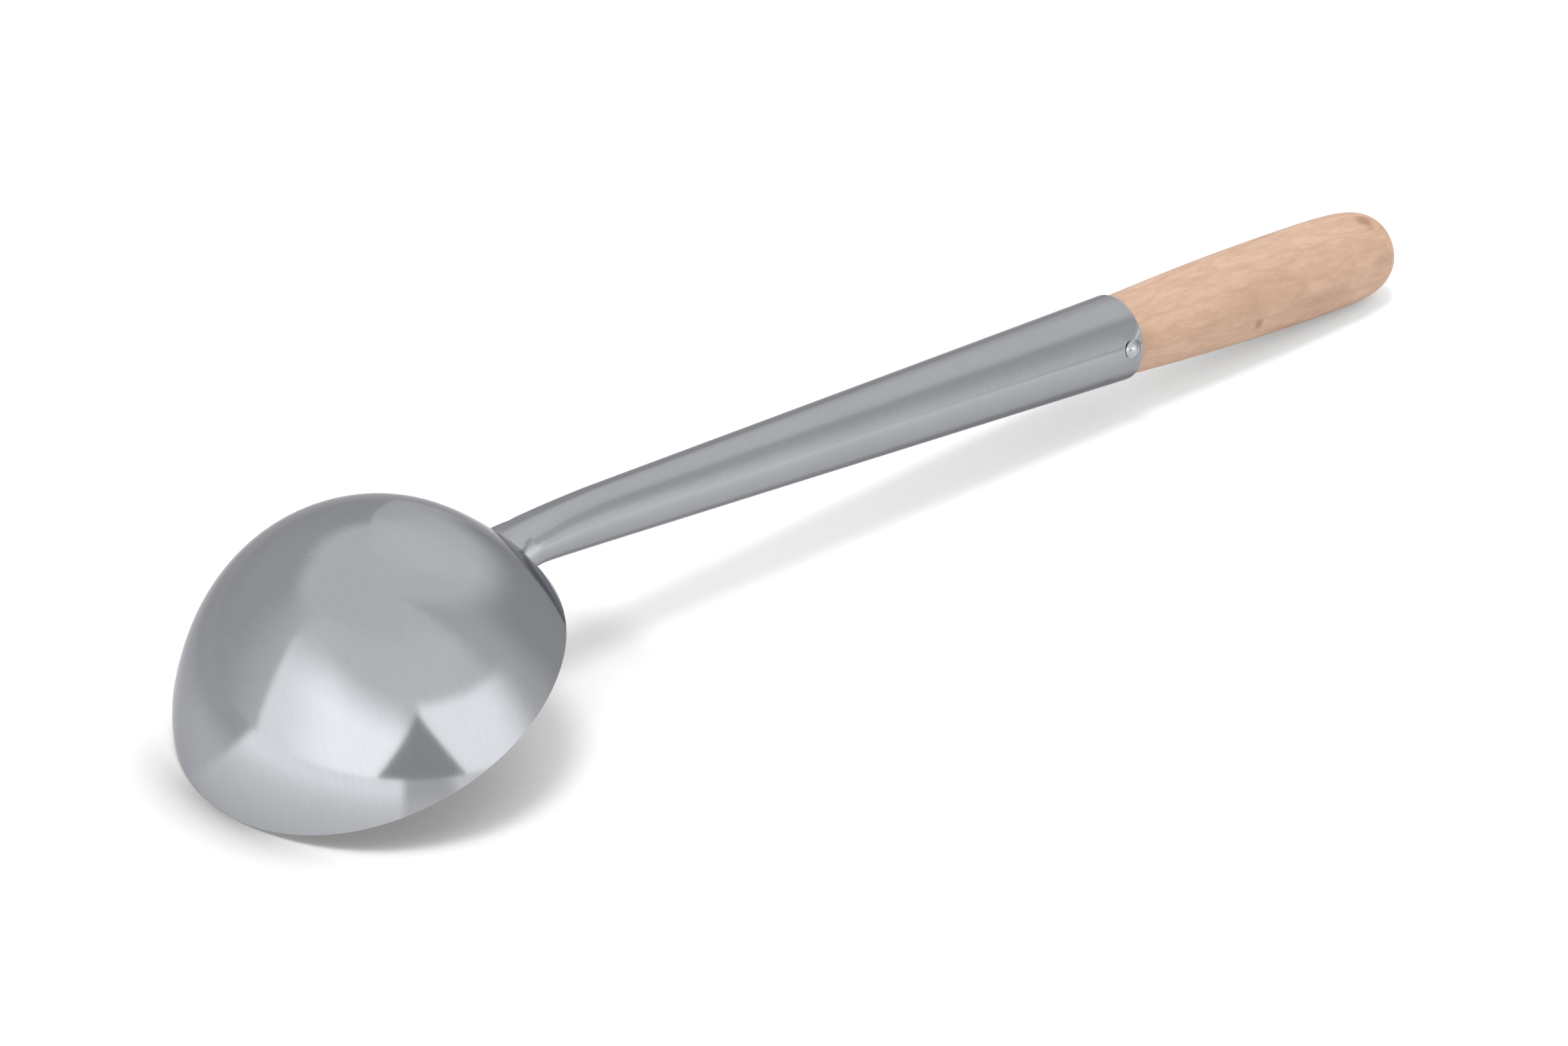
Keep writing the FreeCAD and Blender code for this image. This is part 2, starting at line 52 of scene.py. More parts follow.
# The ladle's form, as the CAD part has it.
RIM_RADIUS = 58 * MM
BOWL_DEPTH = 47.9 * MM
CROWN_RADIUS = 45.7 * MM
CROWN_ANGLE = math.radians(30.8)
WALL_DRAW = 4.7 * MM
DRAW_SPREAD = math.radians(32)
HANDLE_ANGLE = math.radians(28.8)
HANDLE_DROP = 3.85 * MM
NECK_RADIUS = 7.73 * MM
MOUTH_RADIUS = 13.25 * MM
TUBE_LENGTH = 229.8 * MM
NECK_ROOT = 14 * MM
NECK_LENGTH = 30 * MM
NECK_FLAT = 5 * MM
NECK_SPREAD = 1.5 * MM
SHEET_GAUGE = 1 * MM

# How the ladle lies: its tilt, and where the rim's centre is above and along the floor.
LIE_TILT = math.radians(23.729)
RIM_HEIGHT = 23.34 * MM
RIM_ALONG = -172.358 * MM
HANDLE_SLOPE = HANDLE_ANGLE - LIE_TILT

# Shading of the sheet: how near to its exact form the mesh is, the step and least value for slopes, and
# the angles in degrees between which the mesh's own normals take over from the form's.
FORM_REACH = 0.45 * MM
FORM_STEP = 0.02 * MM
LEAST_SLOPE = 1e-12
SMOOTH_WITHIN = (5.0, 11.0)
SHARP_EDGE = math.radians(32)
WELD_REACH = 0.001 * MM

# The neck's front corners in the ladle's frame, and how far they are tucked under the rim.
CORNER_SPOT = (55.9 * MM, 8.0 * MM, -3.5 * MM)
CORNER_TALL = 0.6
CORNER_REACH = 7 * MM
CORNER_TUCK = 4.4 * MM
CORNER_TOP = 0.3 * MM
CORNER_RAMP = 1 * MM

# Floor: a disc that keeps the shadow, and fades to the white backdrop between two distances.
FLOOR_RADIUS = 0.62
FLOOR_SEGMENTS = 96
FLOOR_FADE = (0.42, 0.6)
FLOOR_COLOUR = (0.9, 0.9, 0.9)
FLOOR_SEEN = (1.0, 1.0, 1.0)
FLOOR_LIFT = 0.21

# A soft shadow painted into the floor's colour close round the bowl, as the camera sees it.
CONTACT_REACH = 0.06
CONTACT_RANGE = (0.5, 1.0)
PAINTED_CONTACT_SHADE = (0.25, 0.25, 0.25)
BOWL_END = (-0.11, -0.07)

# Light. A bearing is in degrees, turned left from the side where the camera stands.
CAMERA_SIDE = CAMERA_AZIMUTH - 90
SOFT_LIGHT = 0.8
BACKDROP = 1.0
KEY_BEARING = -34.0
KEY_ELEVATION = 82.0
KEY_ANGLE = 18.0
KEY_STRENGTH = 0.95

# What the steel reflects: the studio's grey tones by bearing and height, in degrees. Three limits are
# where a part starts, where it ends and how softly. Two limits are where a soft step starts and ends.
CEILING = 0.92
FRONT_CEILING = (1.0, (-56.0, 66.0, 12.0), (20.0, 56.0, 10.0))
BACK_CEILING = (0.98, (125.0, 176.0, 10.0), (30.0, 62.0, 8.0))

RIGHT_WALL_BEARINGS = (74.0, 172.0, 7.0)
RIGHT_WALL_SLOPE = 0.7
RIGHT_WALL_TOP = (112.0, 130.0)
RIGHT_WALL_TONES = (0.76, 0.52)
RIGHT_WALL_TURN = (84.0, 112.0)
RIGHT_WALL_HIGH = 0.74
RIGHT_WALL_RISE = (22.0, 56.0)

LEFT_WALL_END = (-72.0, -60.0)
LEFT_WALL_TOP = (42.0, 58.0)
LEFT_WALL_TONES = (0.62, 0.84)
LEFT_WALL_TURN = (-110.0, -64.0)
LEFT_WALL_BEND = -130.0
LEFT_WALL_SLOPE = 0.35
BACK_CORNER_START = (166.0, 176.0)
BACK_CORNER_TOP = (18.0, 32.0)

RIGHT_CARD = 1.62
RIGHT_CARD_START = (20.0, 25.0)
RIGHT_CARD_END = (58.0, 88.0)
RIGHT_CARD_TOP = (25.0, 31.0)

LEFT_CARD_TONES = (1.45, 1.85)
LEFT_CARD_TURN = (-62.0, -22.0)
LEFT_CARD_LEAN = -0.2
LEFT_CARD_START = (-72.0, -67.0)
LEFT_CARD_END = (8.0, 24.0)
LEFT_CARD_TOP = (21.0, 46.0)
LEFT_CARD_BEND = -30.0
LEFT_CARD_SLOPE = 0.3

# The dark triangle between the two cards: the bearings of its foot, and its foot's and apex's heights.
CARD_GAP = 0.5
GAP_FOOT_BEARINGS = (-6.0, 39.0)
GAP_APEX_BEARING = 21.0
GAP_HEIGHTS = (-4.0, 25.0)
GAP_SOFTNESS = (-1.0, 1.5)

# The table as the steel reflects it, a painted glow seen only in reflections: half the ladle's length
# beside which distances are measured, where the near tone turns into the far one, and the far tones by
# bearing.
LADLE_REACH = 0.17
TABLE_FADE = (0.03, 0.2)
TABLE_END = 0.66
TABLE_BRIGHT = (1.5, (-69.0, 9.0, 3.0))
TABLE_GAP = (0.78, (9.0, 29.0, 3.0))
TABLE_RIGHT = (1.15, (29.0, 62.0, 4.0))

# Steel. A grain is its features per metre along, across and up the handle, its detail and its roughness.
STEEL_COLOUR = (0.435, 0.445, 0.47)
STEEL_ROUGHNESS = 0.1
NAIL_COLOUR = (0.56, 0.57, 0.58)
NAIL_ROUGHNESS = 0.16
EDGE_TINT = (0.7, 0.7, 0.72, 1.0)
BRUSH_GRAIN = ((1900.0, 140.0, 140.0), 3.0, 0.6)
SMEAR_GRAIN = ((34.0, 34.0, 34.0), 3.0, 0.55)
BRUSH_SHARE = 0.5
BRUSH_DEPTH = 0.006 * MM
TONE_SPREAD = (0.9, 1.1)
TONE_ROUGHNESS = 0.06
TUBE_START = (-0.125, -0.095)
# The tube's colour is darker than the bowl's: painted shade for its darker reflections.
TUBE_PAINTED_SHADE = -0.4
TUBE_ROUGHNESS = 0.06
TUBE_MARKS = 0.8
BOWL_MARKS = 0.2

# Wood: the same kind of grain, its colours, and its knots as a place and a radius in metres.
FIBRE_GRAIN = ((40.0, 380.0, 380.0), 4.0, 0.6)
PATCH_GRAIN = ((30.0, 75.0, 75.0), 4.0, 0.65)
VEIN_GRAIN = ((45.0, 160.0, 160.0), 5.0, 0.7)
WOOD_PALE = (0.74, 0.49, 0.35)
WOOD_DARK = (0.6, 0.385, 0.27)
WOOD_STREAK = (0.46, 0.27, 0.175)
WOOD_VEIN = (0.5, 0.27, 0.165)
WOOD_KNOT = (0.4, 0.2, 0.11)
WOOD_BOUNCE = (0.5, 0.48, 0.46)
WOOD_ROUGHNESS = 0.5
FIBRE_DEPTH = 0.03 * MM
PATCH_RANGE = (0.3, 0.6)
VEIN_RANGE = (0.46, 0.56, 0.05)
VEIN_SHARE = 0.3
STREAK_RANGE = (0.45, 0.75)
STREAK_SHARE = 0.25
KNOTS = (((0.160, -0.0138, 0.0152), 0.0035), ((0.2155, -0.0035, 0.0268), 0.006))
KNOT_EDGE = (0.7, 1.3)
KNOT_SHARE = 0.8


def direction(side, elevation):
    """The unit vector at an angle from +X and an elevation, both in degrees."""
    side = math.radians(side)
    elevation = math.radians(elevation)
    return Vector((math.cos(side) * math.cos(elevation),
                   math.sin(side) * math.cos(elevation),
                   math.sin(elevation)))


def place_camera():
    """The camera at the photo's viewing angle."""
    back = direction(CAMERA_SIDE, CAMERA_ELEVATION)
    data = bpy.data.cameras.new("camera")
    data.lens = CAMERA_LENS
    data.sensor_width = CAMERA_SENSOR
    data.shift_x, data.shift_y = CAMERA_SHIFT
    camera = bpy.data.objects.new("camera", data)
    camera.location = CAMERA_TARGET + back * CAMERA_DISTANCE
    camera.rotation_euler = back.to_track_quat("Z", "Y").to_euler()
    bpy.context.scene.collection.objects.link(camera)
    bpy.context.scene.camera = camera


def feed(tree, socket, value):
    """Gives a socket a number, a colour or another socket's value."""
    if isinstance(value, tuple):
        socket.default_value = (*value, 1.0)
    elif isinstance(value, float):
        socket.default_value = value
    else:
        tree.links.new(value, socket)


def calculate(tree, operation, *values, clamp=False):
    """A Math node over numbers and sockets."""
    node = tree.nodes.new("ShaderNodeMath")
    node.operation = operation
    node.use_clamp = clamp
    for socket, value in zip(node.inputs, values):
        feed(tree, socket, value)
    return node.outputs[0]


def multiply(tree, first, *others):
    """The product of two or more values."""
    product = first
    for other in others:
        product = calculate(tree, "MULTIPLY", product, other)
    return product


def scale_add(tree, value, scale, base):
    """A value times a scale, plus a base."""
    return calculate(tree, "MULTIPLY_ADD", value, scale, base)


def rise(tree, value, start, end):
    """A smooth step from 0 at the start to 1 at the end."""
    node = tree.nodes.new("ShaderNodeMapRange")
    node.interpolation_type = "SMOOTHSTEP"
    tree.links.new(value, node.inputs["Value"])
    node.inputs["From Min"].default_value = start
    node.inputs["From Max"].default_value = end
    return node.outputs["Result"]


def fall(tree, value, start, end):
    """A smooth step from 1 at the start to 0 at the end."""
    return calculate(tree, "SUBTRACT", 1.0, rise(tree, value, start, end))


def window(tree, value, low, high, soft):
    """1 between two limits, with soft ends."""
    enter = rise(tree, value, low - soft, low + soft)
    leave = rise(tree, value, high - soft, high + soft)
    return calculate(tree, "SUBTRACT", enter, leave, clamp=True)


def blend_values(tree, factor, first, second):
    """A float Mix node over numbers and sockets."""
    node = tree.nodes.new("ShaderNodeMix")
    node.data_type = "FLOAT"
    for socket, value in zip((node.inputs[0], node.inputs[2], node.inputs[3]), (factor, first, second)):
        feed(tree, socket, value)
    return node.outputs[0]


def blend_colours(tree, factor, first, second):
    """A colour Mix node over colours and sockets."""
    node = tree.nodes.new("ShaderNodeMix")
    node.data_type = "RGBA"
    for socket, value in zip((node.inputs[0], node.inputs[6], node.inputs[7]), (factor, first, second)):
        feed(tree, socket, value)
    return node.outputs[2]


def parts_of(tree, vector):
    """A vector's X, Y and Z."""
    node = tree.nodes.new("ShaderNodeSeparateXYZ")
    tree.links.new(vector, node.inputs[0])
    return node.outputs


def length_of(tree, vector):
    """A vector's length."""
    node = tree.nodes.new("ShaderNodeVectorMath")
    node.operation = "LENGTH"
    tree.links.new(vector, node.inputs[0])
    return node.outputs["Value"]


def turned(tree, vector, axis, angle):
    """A vector turned about an axis."""
    node = tree.nodes.new("ShaderNodeVectorRotate")
    node.rotation_type = axis
    node.inputs["Angle"].default_value = angle
    tree.links.new(vector, node.inputs["Vector"])
    return node.outputs[0]


def degrees(tree, angle):
    """An angle in degrees."""
    return calculate(tree, "MULTIPLY", angle, 180.0 / math.pi)


def bearing_of(tree, vector):
    """A vector's bearing in degrees, turned left from the camera's side."""
    parts = parts_of(tree, turned(tree, vector, "Z_AXIS", math.radians(-CAMERA_SIDE)))
    return degrees(tree, calculate(tree, "ARCTAN2", parts["Y"], parts["X"]))


def new_material(name):
    """An empty node material with its tree and output."""
    material = bpy.data.materials.new(name)
    material.use_nodes = True
    material.node_tree.nodes.clear()
    output = material.node_tree.nodes.new("ShaderNodeOutputMaterial")
    return material, material.node_tree, output


def table_levels(tree, place):
    """How far a place on the table is from the ladle, from 0 to 1, and the grey tone of its painted glow
    out there.
    """
    parts = parts_of(tree, place)
    past_end = calculate(tree, "SUBTRACT", calculate(tree, "ABSOLUTE", parts["X"]), LADLE_REACH)
    past_end = calculate(tree, "MAXIMUM", past_end, 0.0)
    past_end = multiply(tree, past_end, calculate(tree, "SIGN", parts["X"]))
    beside = tree.nodes.new("ShaderNodeCombineXYZ")
    tree.links.new(past_end, beside.inputs["X"])
    tree.links.new(parts["Y"], beside.inputs["Y"])
    bearing = bearing_of(tree, beside.outputs[0])
    level = TABLE_END
    for tone, bearings in (TABLE_BRIGHT, TABLE_GAP, TABLE_RIGHT):
        level = blend_values(tree, window(tree, bearing, *bearings), level, tone)
    return rise(tree, length_of(tree, beside.outputs[0]), *TABLE_FADE), level


def matt_floor(tree, place, seen):
    """The matt floor, for the camera a little lighter and with a contact shadow painted into its colour
    round the bowl.
    """
    near = tree.nodes.new("ShaderNodeAmbientOcclusion")
    near.inputs["Distance"].default_value = CONTACT_REACH
    past_bowl = rise(tree, parts_of(tree, place)["X"], *BOWL_END)
    open_share = calculate(tree, "MAXIMUM", rise(tree, near.outputs["AO"], *CONTACT_RANGE), past_bowl)
    # Painted shadow: near the bowl the floor's colour darkens towards the shade colour.
    contact = blend_colours(tree, open_share, PAINTED_CONTACT_SHADE, FLOOR_SEEN)
    diffuse = tree.nodes.new("ShaderNodeBsdfDiffuse")
    tree.links.new(blend_colours(tree, seen, FLOOR_COLOUR, contact), diffuse.inputs["Color"])
    lift = tree.nodes.new("ShaderNodeEmission")
    tree.links.new(multiply(tree, seen, FLOOR_LIFT), lift.inputs["Strength"])
    lit = tree.nodes.new("ShaderNodeAddShader")
    tree.links.new(diffuse.outputs[0], lit.inputs[0])
    tree.links.new(lift.outputs[0], lit.inputs[1])
    return lit.outputs[0]


def glow_over(tree, shader, share, strength):
    """A shader that gives way to a plain glow."""
    plain = tree.nodes.new("ShaderNodeEmission")
    feed(tree, plain.inputs["Strength"], strength)
    mix = tree.nodes.new("ShaderNodeMixShader")
    tree.links.new(share, mix.inputs["Fac"])
    tree.links.new(shader, mix.inputs[1])
    tree.links.new(plain.outputs[0], mix.inputs[2])
    return mix.outputs[0]


def floor_material():
    """A matt floor with the white backdrop far off, and the table's far tones painted as a glow seen only
    in reflections.
    """
    material, tree, output = new_material("floor")
    path = tree.nodes.new("ShaderNodeLightPath")
    seen = path.outputs["Is Camera Ray"]
    place = tree.nodes.new("ShaderNodeNewGeometry").outputs["Position"]
    backdrop = multiply(tree, rise(tree, length_of(tree, place), *FLOOR_FADE), seen)
    beside, painted_glow_level = table_levels(tree, place)
    # Painted reflection: for reflected rays the floor past the ladle glows with the table's tones.
    painted_table_glow = multiply(tree, beside, path.outputs["Is Glossy Ray"])
    covered = glow_over(tree, matt_floor(tree, place, seen), backdrop, BACKDROP)
    covered = glow_over(tree, covered, painted_table_glow, painted_glow_level)
    tree.links.new(covered, output.inputs["Surface"])
    return material


def floor():
    """A plain pale floor that keeps the shadow and turns into the white backdrop."""
    mesh = bpy.data.meshes.new("floor")
    disc = bmesh.new()
    bmesh.ops.create_circle(disc, cap_ends=True, segments=FLOOR_SEGMENTS, radius=FLOOR_RADIUS)
    disc.to_mesh(mesh)
    disc.free()
    mesh.materials.append(floor_material())
    plane = bpy.data.objects.new("floor", mesh)
    bpy.context.scene.collection.objects.link(plane)


def ceiling(tree, bearing, height):
    """The ceiling's tone, with a lighter part in front and one behind."""
    level = CEILING
    for tone, bearings, heights in (FRONT_CEILING, BACK_CEILING):
        share = multiply(tree, window(tree, bearing, *bearings), window(tree, height, *heights))
        level = blend_values(tree, share, level, tone)
    return level


def right_wall(tree, bearing, height, level):
    """A darker wall on the right, whose top slopes down towards the back."""
    top = scale_add(tree, bearing, RIGHT_WALL_SLOPE, height)
    share = multiply(tree, window(tree, bearing, *RIGHT_WALL_BEARINGS), fall(tree, top, *RIGHT_WALL_TOP))
    tone = blend_values(tree, rise(tree, bearing, *RIGHT_WALL_TURN), *RIGHT_WALL_TONES)
    tone = blend_values(tree, rise(tree, height, *RIGHT_WALL_RISE), tone, RIGHT_WALL_HIGH)
    return blend_values(tree, share, level, tone)


def left_wall(tree, bearing, height, level):
    """A darker wall from the left round to the back, lowest in the corner behind."""
    behind = calculate(tree, "MAXIMUM", calculate(tree, "SUBTRACT", LEFT_WALL_BEND, bearing), 0.0)
    top = scale_add(tree, behind, LEFT_WALL_SLOPE, height)
    share = multiply(tree, fall(tree, bearing, *LEFT_WALL_END), fall(tree, top, *LEFT_WALL_TOP))
    corner = multiply(tree, rise(tree, bearing, *BACK_CORNER_START), fall(tree, height, *BACK_CORNER_TOP))
    tone = blend_values(tree, rise(tree, bearing, *LEFT_WALL_TURN), *LEFT_WALL_TONES)
    return blend_values(tree, calculate(tree, "MAXIMUM", share, corner), level, tone)


def right_card(tree, bearing, height, level):
    """A bright card on the right of the camera."""
    share = multiply(tree, fall(tree, bearing, *RIGHT_CARD_END), rise(tree, bearing, *RIGHT_CARD_START),
                     fall(tree, height, *RIGHT_CARD_TOP))
    return blend_values(tree, share, level, RIGHT_CARD)


def left_card(tree, bearing, height, level):
    """A bright card on the left of the camera, which leans and whose top sinks to the right."""
    leaning = scale_add(tree, height, LEFT_CARD_LEAN, bearing)
    past_bend = calculate(tree, "SUBTRACT", bearing, LEFT_CARD_BEND)
    top = scale_add(tree, calculate(tree, "MAXIMUM", past_bend, 0.0), LEFT_CARD_SLOPE, height)
    share = multiply(tree, rise(tree, leaning, *LEFT_CARD_START), fall(tree, bearing, *LEFT_CARD_END),
                     fall(tree, top, *LEFT_CARD_TOP))
    tone = blend_values(tree, rise(tree, bearing, *LEFT_CARD_TURN), *LEFT_CARD_TONES)
    return blend_values(tree, share, level, tone)


def card_gap(tree, bearing, height, level):
    """The dark triangle that the two cards leave between them."""
    foot, apex = GAP_HEIGHTS
    climb = calculate(tree, "SUBTRACT", height, foot)
    edges = []
    for start in GAP_FOOT_BEARINGS:
        edges.append(scale_add(tree, climb, (GAP_APEX_BEARING - start) / (apex - foot), start))
    inside = calculate(tree, "MINIMUM", calculate(tree, "SUBTRACT", edges[1], bearing),
                       calculate(tree, "SUBTRACT", bearing, edges[0]))
    return blend_values(tree, rise(tree, inside, *GAP_SOFTNESS), level, CARD_GAP)


def studio_levels(tree, towards):
    """The grey tones of the ceiling, the walls and the two bright cards, by direction."""
    bearing = bearing_of(tree, towards)
    height = degrees(tree, calculate(tree, "ARCSINE", parts_of(tree, towards)["Z"]))
    level = ceiling(tree, bearing, height)
    for lay_over in (right_wall, left_wall, right_card, left_card, card_gap):
        level = lay_over(tree, bearing, height, level)
    return level


def studio():
    """Even light from all round, a white backdrop, and what shiny surfaces reflect."""
    world = bpy.data.worlds.new("studio")
    world.use_nodes = True
    tree = world.node_tree
    background = tree.nodes["Background"]
    reflected = studio_levels(tree, tree.nodes.new("ShaderNodeTexCoord").outputs["Generated"])
    path = tree.nodes.new("ShaderNodeLightPath")
    level = blend_values(tree, path.outputs["Is Glossy Ray"], SOFT_LIGHT, reflected)
    seen = calculate(tree, "MAXIMUM", path.outputs["Is Camera Ray"], path.outputs["Is Transmission Ray"])
    tree.links.new(blend_values(tree, seen, level, BACKDROP), background.inputs["Strength"])
    background.inputs["Color"].default_value = (1.0, 1.0, 1.0, 1.0)
    bpy.context.scene.world = world


def key_lamp():
    """One soft lamp from high up, which gives the handle its shadow."""
    lamp = bpy.data.lights.new("key", "SUN")
    lamp.energy = KEY_STRENGTH
    lamp.angle = math.radians(KEY_ANGLE)
    key = bpy.data.objects.new("key", lamp)
    towards = direction(CAMERA_SIDE + KEY_BEARING, KEY_ELEVATION)
    key.rotation_euler = towards.to_track_quat("Z", "Y").to_euler()
    key.visible_glossy = False
    bpy.context.scene.collection.objects.link(key)


def to_ladle(points):
    """Points in the ladle's own frame: the rim's centre at the origin, the dome upwards."""
    along = points[:, 0] - RIM_ALONG
    above = points[:, 2] - RIM_HEIGHT
    level, steep = math.cos(LIE_TILT), math.sin(LIE_TILT)
    return np.stack([along * level + above * steep, points[:, 1], above * level - along * steep], axis=1)


def bowl_distance(points):
    """Signed distance to the outside of the bowl."""
    place = to_ladle(points)
    edge_x = CROWN_RADIUS * math.sin(CROWN_ANGLE)
    edge_z = BOWL_DEPTH - CROWN_RADIUS * (1 - math.cos(CROWN_ANGLE))
    run = RIM_RADIUS - edge_x
    chord = math.atan2(edge_z, run)
    side = math.hypot(run, edge_z) / (2 * math.sin(chord - CROWN_ANGLE))
    hub_x = edge_x - side * math.sin(CROWN_ANGLE)
    hub_z = edge_z - side * math.cos(CROWN_ANGLE)
    bearing = np.arctan2(place[:, 1], place[:, 0])
    low_share = ((BOWL_DEPTH - place[:, 2]) / BOWL_DEPTH)**2
    pull = WALL_DRAW * low_share * np.exp(-(bearing / DRAW_SPREAD)**2)
    reach = np.hypot(place[:, 0], place[:, 1]) + pull
    on_side = np.hypot(reach - hub_x, place[:, 2] - hub_z) - side
    on_crown = np.hypot(reach, place[:, 2] - (BOWL_DEPTH - CROWN_RADIUS)) - CROWN_RADIUS
    return np.where(np.arctan2(reach - hub_x, place[:, 2] - hub_z) > CROWN_ANGLE, on_side, on_crown)


def tube_distance(points):
    """Signed distance to the outside of the neck and the conical tube."""
    place = to_ladle(points)
    along, across = math.cos(HANDLE_ANGLE), math.sin(HANDLE_ANGLE)
    x = place[:, 0] - RIM_RADIUS
    z = place[:, 2] + HANDLE_DROP
    station = x * along - z * across
    up = x * across + z * along
    radius = NECK_RADIUS + (MOUTH_RADIUS - NECK_RADIUS) * station / TUBE_LENGTH
    share = (np.clip(NECK_LENGTH - station, 0, None) / (NECK_LENGTH + NECK_ROOT))**2
    wide = radius + NECK_SPREAD * share
    high = np.where(up > 0, radius - NECK_FLAT * share, radius)
    distance = (np.hypot(place[:, 1] / wide, up / high) - 1) * radius
    return np.maximum(distance, -NECK_ROOT - station)


def gradient(distance, points):
    """Unit directions in which a distance grows fastest."""
    parts = []
    for axis in range(3):
        shift = np.zeros(3)
        shift[axis] = FORM_STEP
        parts.append(distance(points + shift) - distance(points - shift))
    found = np.stack(parts, axis=1)
    return found / np.maximum(np.linalg.norm(found, axis=1), LEAST_SLOPE)[:, None]


def smooth_step(share):
    """A share from 0 to 1 with soft ends."""
    return share * share * (3 - 2 * share)


def pull_to_form(normals, points, distance):
    """The form's normals on the mesh's own side, and how far the mesh's are drawn to them."""
    depth = distance(points)
    near = np.minimum(abs(depth), abs(depth + SHEET_GAUGE)) < FORM_REACH
    form = gradient(distance, points)
    facing = (normals * form).sum(axis=1)
    apart = np.degrees(np.arccos(np.clip(abs(facing), 0, 1)))
    start, end = SMOOTH_WITHIN
    share = np.where(near, smooth_step(np.clip((end - apart) / (end - start), 0, 1)), 0)
    return form * np.sign(facing)[:, None], share


def tuck_corners(work):
    """The neck's two front corners tucked under the rim, so that no gap shows there."""
    points = to_ladle(np.array([vertex.co[:] for vertex in work.verts]))
    towards_bowl = Vector((-math.cos(LIE_TILT), 0.0, -math.sin(LIE_TILT)))
    ahead, aside, below = CORNER_SPOT
    for vertex, point in zip(work.verts, points):
        away = np.hypot(np.hypot(point[0] - ahead, abs(point[1]) - aside), (point[2] - below) * CORNER_TALL)
        under = np.clip((CORNER_TOP - point[2]) / CORNER_RAMP, 0, 1)
        share = under * np.clip(1 - away / CORNER_REACH, 0, 1)
        if share > 0:
            vertex.co += towards_bowl * float(CORNER_TUCK * smooth_step(share))


def joined_copy(node):
    """A copy of the sheet's mesh, joined so that normals run across its faces, with its corners tucked."""
    mesh = node.data.copy()
    mesh.name = "pressed_sheet"
    work = bmesh.new()
    work.from_mesh(mesh)
    bmesh.ops.remove_doubles(work, verts=work.verts, dist=WELD_REACH)
    tuck_corners(work)
    for face in work.faces:
        face.smooth = True
    work.to_mesh(mesh)
    work.free()
    mesh.set_sharp_from_angle(angle=SHARP_EDGE)
    return mesh


def face_corners(mesh):
    """Each face corner's place and normal."""
    corners = np.zeros(len(mesh.loops), dtype=np.int32)
    mesh.loops.foreach_get("vertex_index", corners)
    points = np.zeros(len(mesh.vertices) * 3)
    mesh.vertices.foreach_get("co", points)
    normals = np.zeros(len(mesh.loops) * 3)
    mesh.corner_normals.foreach_get("vector", normals)
    return points.reshape(-1, 3)[corners], normals.reshape(-1, 3)


def smooth_sheet(node):
    """The sheet with the normals of its exact form, so that it reflects smoothly."""
    mesh = joined_copy(node)
    points, normals = face_corners(mesh)
    bowl, bowl_share = pull_to_form(normals, points, bowl_distance)
    tube, tube_share = pull_to_form(normals, points, tube_distance)
    form = np.where((bowl_share >= tube_share)[:, None], bowl, tube)
    share = np.maximum(bowl_share, tube_share)[:, None]
    smooth = normals * (1 - share) + form * share
    smooth /= np.linalg.norm(smooth, axis=1)[:, None]
    mesh.normals_split_custom_set(smooth.tolist())
    mesh.materials.clear()
    mesh.materials.append(steel("satin_steel", STEEL_COLOUR, STEEL_ROUGHNESS))
    sheet = bpy.data.objects.new("pressed_sheet", mesh)
    bpy.context.scene.collection.objects.link(sheet)
    return sheet


def object_place(tree):
    """Places in the object's own frame."""
    return tree.nodes.new("ShaderNodeTexCoord").outputs["Object"]


def grain_noise(tree, place, grain):
    """Noise with a grain's features per metre, detail and roughness."""
    features, detail, roughness = grain
    scaled = tree.nodes.new("ShaderNodeVectorMath")
    scaled.operation = "MULTIPLY"
    scaled.inputs[1].default_value = features
    tree.links.new(place, scaled.inputs[0])
    node = tree.nodes.new("ShaderNodeTexNoise")
    node.inputs["Scale"].default_value = 1.0
    node.inputs["Detail"].default_value = detail
    node.inputs["Roughness"].default_value = roughness
    tree.links.new(scaled.outputs[0], node.inputs["Vector"])
    return node.outputs["Fac"]


def bump(tree, height, depth):
    """The normal of a surface with a fine relief."""
    node = tree.nodes.new("ShaderNodeBump")
    node.inputs["Distance"].default_value = depth
    tree.links.new(height, node.inputs["Height"])
    return node.outputs["Normal"]


def steel(name, colour, roughness):
    """Satin steel with fine brush marks across the handle, which are stronger there, soft smears, and
    painted shade that darkens the tube's colour.
    """
    material, tree, output = new_material(name)
    place = object_place(tree)
    brushed = grain_noise(tree, turned(tree, place, "Y_AXIS", -HANDLE_SLOPE), BRUSH_GRAIN)
    smears = grain_noise(tree, place, SMEAR_GRAIN)
    tone = scale_add(tree, smears, 1 - BRUSH_SHARE, multiply(tree, brushed, BRUSH_SHARE))
    on_tube = rise(tree, parts_of(tree, place)["X"], *TUBE_START)
    dark, light = (tuple(spread * part for part in colour) for spread in TONE_SPREAD)
    # Painted shade: the colour is darker on the tube than on the bowl.
    base = blend_colours(tree, scale_add(tree, on_tube, TUBE_PAINTED_SHADE, tone), dark, light)
    rough = scale_add(tree, on_tube, TUBE_ROUGHNESS, roughness - TONE_ROUGHNESS / 2)
    rough = scale_add(tree, tone, TONE_ROUGHNESS, rough)
    marks = multiply(tree, brushed, scale_add(tree, on_tube, TUBE_MARKS, BOWL_MARKS))
    surface = tree.nodes.new("ShaderNodeBsdfPrincipled")
    surface.inputs["Metallic"].default_value = 1.0
    surface.inputs["Specular Tint"].default_value = EDGE_TINT
    tree.links.new(base, surface.inputs["Base Color"])
    tree.links.new(rough, surface.inputs["Roughness"])
    tree.links.new(bump(tree, marks, BRUSH_DEPTH), surface.inputs["Normal"])
    tree.links.new(surface.outputs[0], output.inputs["Surface"])
    return material


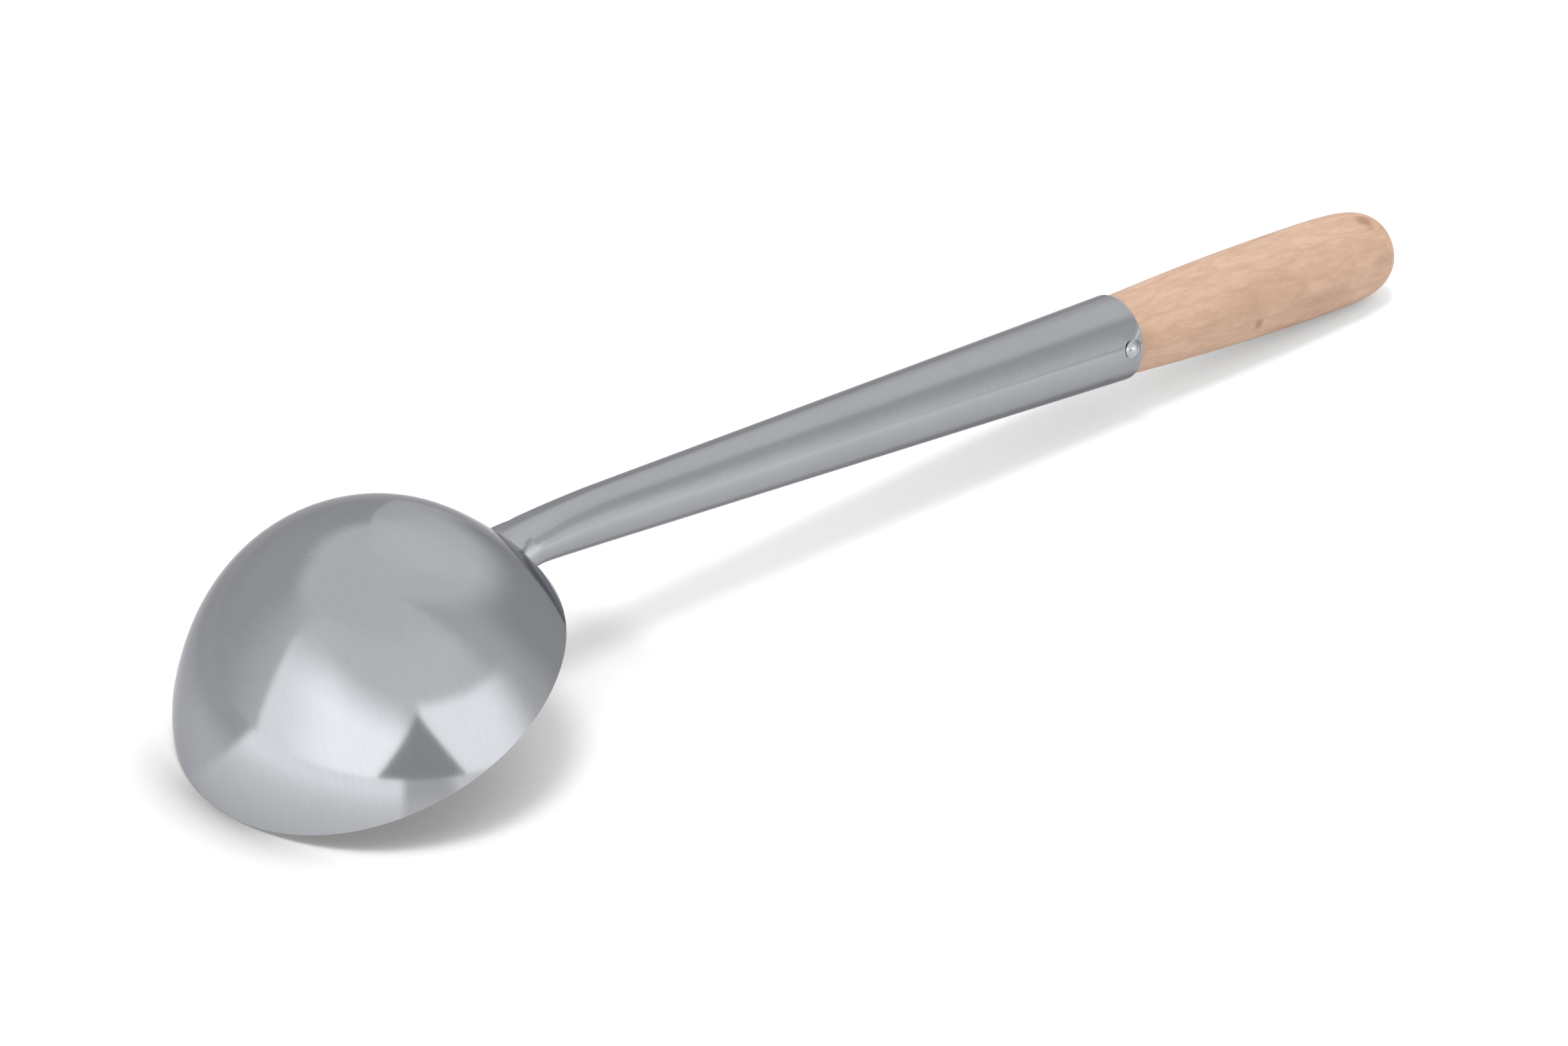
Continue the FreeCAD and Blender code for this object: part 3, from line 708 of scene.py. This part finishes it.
def knots_over(tree, colour, veins):
    """Small dark knots with ragged edges."""
    for centre, radius in KNOTS:
        gap = tree.nodes.new("ShaderNodeVectorMath")
        gap.operation = "DISTANCE"
        tree.links.new(object_place(tree), gap.inputs[0])
        gap.inputs[1].default_value = centre
        ragged = scale_add(tree, veins, radius, gap.outputs["Value"])
        start, end = (share * radius for share in KNOT_EDGE)
        spot = multiply(tree, fall(tree, ragged, start, end), KNOT_SHARE)
        colour = blend_colours(tree, spot, colour, WOOD_KNOT)
    return colour


def wood():
    """Pale wood with mottled patches, reddish veins, a faint lengthwise grain and two small knots."""
    material, tree, output = new_material("pale_wood_grain")
    place = turned(tree, object_place(tree), "Y_AXIS", -HANDLE_SLOPE)
    fibres = grain_noise(tree, place, FIBRE_GRAIN)
    patches = grain_noise(tree, place, PATCH_GRAIN)
    veins = grain_noise(tree, place, VEIN_GRAIN)
    colour = blend_colours(tree, rise(tree, patches, *PATCH_RANGE), WOOD_DARK, WOOD_PALE)
    veined = multiply(tree, window(tree, veins, *VEIN_RANGE), VEIN_SHARE)
    colour = blend_colours(tree, veined, colour, WOOD_VEIN)
    streaked = multiply(tree, rise(tree, fibres, *STREAK_RANGE), STREAK_SHARE)
    colour = blend_colours(tree, streaked, colour, WOOD_STREAK)
    colour = knots_over(tree, colour, veins)
    bounced = tree.nodes.new("ShaderNodeLightPath").outputs["Is Diffuse Ray"]
    surface = tree.nodes.new("ShaderNodeBsdfPrincipled")
    surface.inputs["Roughness"].default_value = WOOD_ROUGHNESS
    tree.links.new(blend_colours(tree, bounced, colour, WOOD_BOUNCE), surface.inputs["Base Color"])
    tree.links.new(bump(tree, fibres, FIBRE_DEPTH), surface.inputs["Normal"])
    tree.links.new(surface.outputs[0], output.inputs["Surface"])
    return material


scene = bpy.context.scene
scene.view_settings.view_transform = "Standard"
place_camera()
floor()
studio()
key_lamp()

sheet = smooth_sheet(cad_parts["ladle_body"])
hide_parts("ladle_body")
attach(sheet, "root")
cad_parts["grip_nail"].material_slots[0].material = steel("bright_steel", NAIL_COLOUR, NAIL_ROUGHNESS)
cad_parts["wood_grip"].material_slots[0].material = wood()
